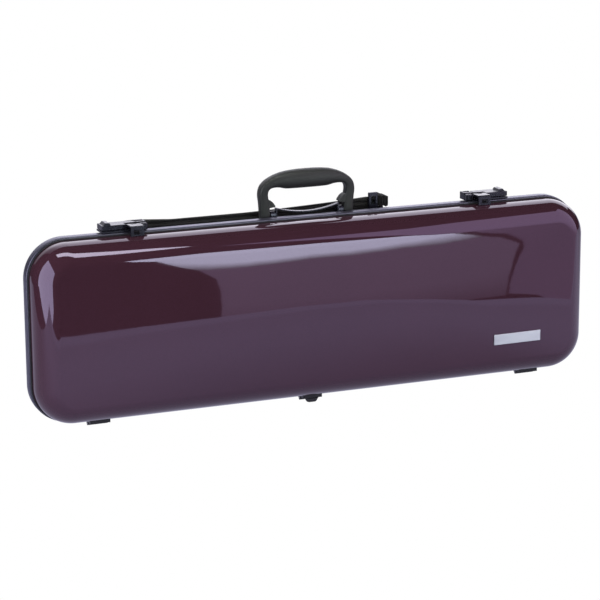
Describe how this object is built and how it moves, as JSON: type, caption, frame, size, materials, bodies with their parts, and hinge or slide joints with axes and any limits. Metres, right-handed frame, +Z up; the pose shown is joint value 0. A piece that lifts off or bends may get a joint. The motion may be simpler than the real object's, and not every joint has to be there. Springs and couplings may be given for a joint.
{
  "type": "violin case",
  "caption": "Hard-shell oblong violin case with a hinged crowned lid, draw latches, swinging carry handle, rubber feet, a folded shoulder strap and a fitted interior.",
  "frame": {"origin": "middle of the footprint, on the surface that the feet stand on", "axes": "+X along the case's length, the lid faces -Y, +Z up towards the handle"},
  "size_m": [0.7962, 0.1349, 0.3143],
  "materials": {
    "purple_shell": "deep plum high-gloss lacquer",
    "edge_band": "satin anthracite",
    "seal_rubber": "matte black",
    "black_plastic": "satin moulded black",
    "soft_grip": "soft-touch black",
    "foot_rubber": "matte black rubber",
    "hinge_metal": "black coated metal",
    "pin_steel": "bright steel",
    "label_metal": "satin blank plate",
    "webbing": "woven black webbing",
    "velour": "short-pile velour",
    "dial_glass": "clear"
  },
  "bodies": {
    "root": {"rear_shell": "purple_shell", "edge_band": "edge_band", "seam_gasket": "seal_rubber", "hinge_leaf_rear_left": "hinge_metal", "hinge_leaf_rear_middle": "hinge_metal", "hinge_leaf_rear_right": "hinge_metal", "hinge_pin_left": "pin_steel", "hinge_pin_middle": "pin_steel", "hinge_pin_right": "pin_steel", "foot_left": "foot_rubber", "foot_right": "foot_rubber", "foot_rear_left": "foot_rubber", "foot_rear_right": "foot_rubber", "handle_base": "black_plastic", "handle_pin_left": "pin_steel", "handle_pin_right": "pin_steel", "latch_base_left": "black_plastic", "latch_base_right": "black_plastic", "lever_pin_left": "pin_steel", "lever_pin_right": "pin_steel", "shoulder_strap": "webbing", "strap_buckle": "black_plastic", "strap_end_loop": "webbing", "strap_lug_left": "black_plastic", "strap_lug_right": "black_plastic", "instrument_insert": "velour", "neck_rest": "velour", "accessory_tray": "velour", "accessory_cover": "velour"},
    "lid": {"lid_shell": "purple_shell", "lid_tongue": "seal_rubber", "lid_lining": "velour", "label_plate": "label_metal", "hinge_leaf_lid_left": "hinge_metal", "hinge_leaf_lid_middle": "hinge_metal", "hinge_leaf_lid_right": "hinge_metal", "foot_middle": "foot_rubber", "lid_catch_left": "hinge_metal", "lid_catch_right": "hinge_metal", "bow_post_upper": "black_plastic", "bow_post_lower": "black_plastic", "bow_tip_pocket_upper": "velour", "bow_tip_pocket_lower": "velour", "hygrometer_body": "black_plastic", "hygrometer_glass": "dial_glass"},
    "handle": {"handle_grip": "soft_grip"},
    "lever_left": {"latch_lever_left": "black_plastic"},
    "lever_right": {"latch_lever_right": "black_plastic"},
    "slider_left": {"latch_slider_left": "black_plastic", "hasp_pin_left": "pin_steel"},
    "slider_right": {"latch_slider_right": "black_plastic", "hasp_pin_right": "pin_steel"},
    "hasp_left": {"latch_hasp_left": "black_plastic"},
    "hasp_right": {"latch_hasp_right": "black_plastic"},
    "flap": {"accessory_flap": "velour", "accessory_tab": "webbing"},
    "toggle_upper": {"bow_toggle_upper": "black_plastic"},
    "toggle_lower": {"bow_toggle_lower": "black_plastic"}
  },
  "joints": [
    {"name": "lid_hinge", "type": "hinge", "parent": "root", "child": "lid", "pos_m": [0, -0.0175, 0.0038], "axis": [1, 0, 0], "range_deg": [0, 100]},
    {"name": "handle_swing", "type": "hinge", "parent": "root", "child": "handle", "pos_m": [0, 0.0105, 0.2545], "axis": [1, 0, 0], "range_deg": [-37, 50]},
    {"name": "lever_left_lift", "type": "hinge", "parent": "root", "child": "lever_left", "pos_m": [-0.238, 0.0012, 0.261], "axis": [0, 1, 0], "range_deg": [0, 95]},
    {"name": "lever_right_lift", "type": "hinge", "parent": "root", "child": "lever_right", "pos_m": [0.234, 0.0012, 0.261], "axis": [0, -1, 0], "range_deg": [0, 95]},
    {"name": "slider_left_draw", "type": "slide", "parent": "root", "child": "slider_left", "axis": [0, -1, 0], "range_m": [0, 0.003]},
    {"name": "slider_right_draw", "type": "slide", "parent": "root", "child": "slider_right", "axis": [0, -1, 0], "range_m": [0, 0.003]},
    {"name": "hasp_left_flip", "type": "hinge", "parent": "slider_left", "child": "hasp_left", "pos_m": [-0.2515, -0.011, 0.2608], "axis": [-1, 0, 0], "range_deg": [0, 80]},
    {"name": "hasp_right_flip", "type": "hinge", "parent": "slider_right", "child": "hasp_right", "pos_m": [0.2475, -0.011, 0.2608], "axis": [-1, 0, 0], "range_deg": [0, 80]},
    {"name": "flap_lift", "type": "hinge", "parent": "root", "child": "flap", "pos_m": [-0.3245, -0.012, 0.131], "axis": [0, 0, 1], "range_deg": [0, 90]},
    {"name": "toggle_upper_turn", "type": "hinge", "parent": "lid", "child": "toggle_upper", "pos_m": [0.25, -0.0525, 0.176], "axis": [0, 1, 0], "range_deg": [0, 90]},
    {"name": "toggle_lower_turn", "type": "hinge", "parent": "lid", "child": "toggle_lower", "pos_m": [0.25, -0.0525, 0.086], "axis": [0, 1, 0], "range_deg": [0, 90]}
  ],
  "couplings": [
    {"joint": "slider_left_draw", "follows": "lever_left_lift", "m_per_rad": 0.0018},
    {"joint": "slider_right_draw", "follows": "lever_right_lift", "m_per_rad": 0.0018}
  ]
}
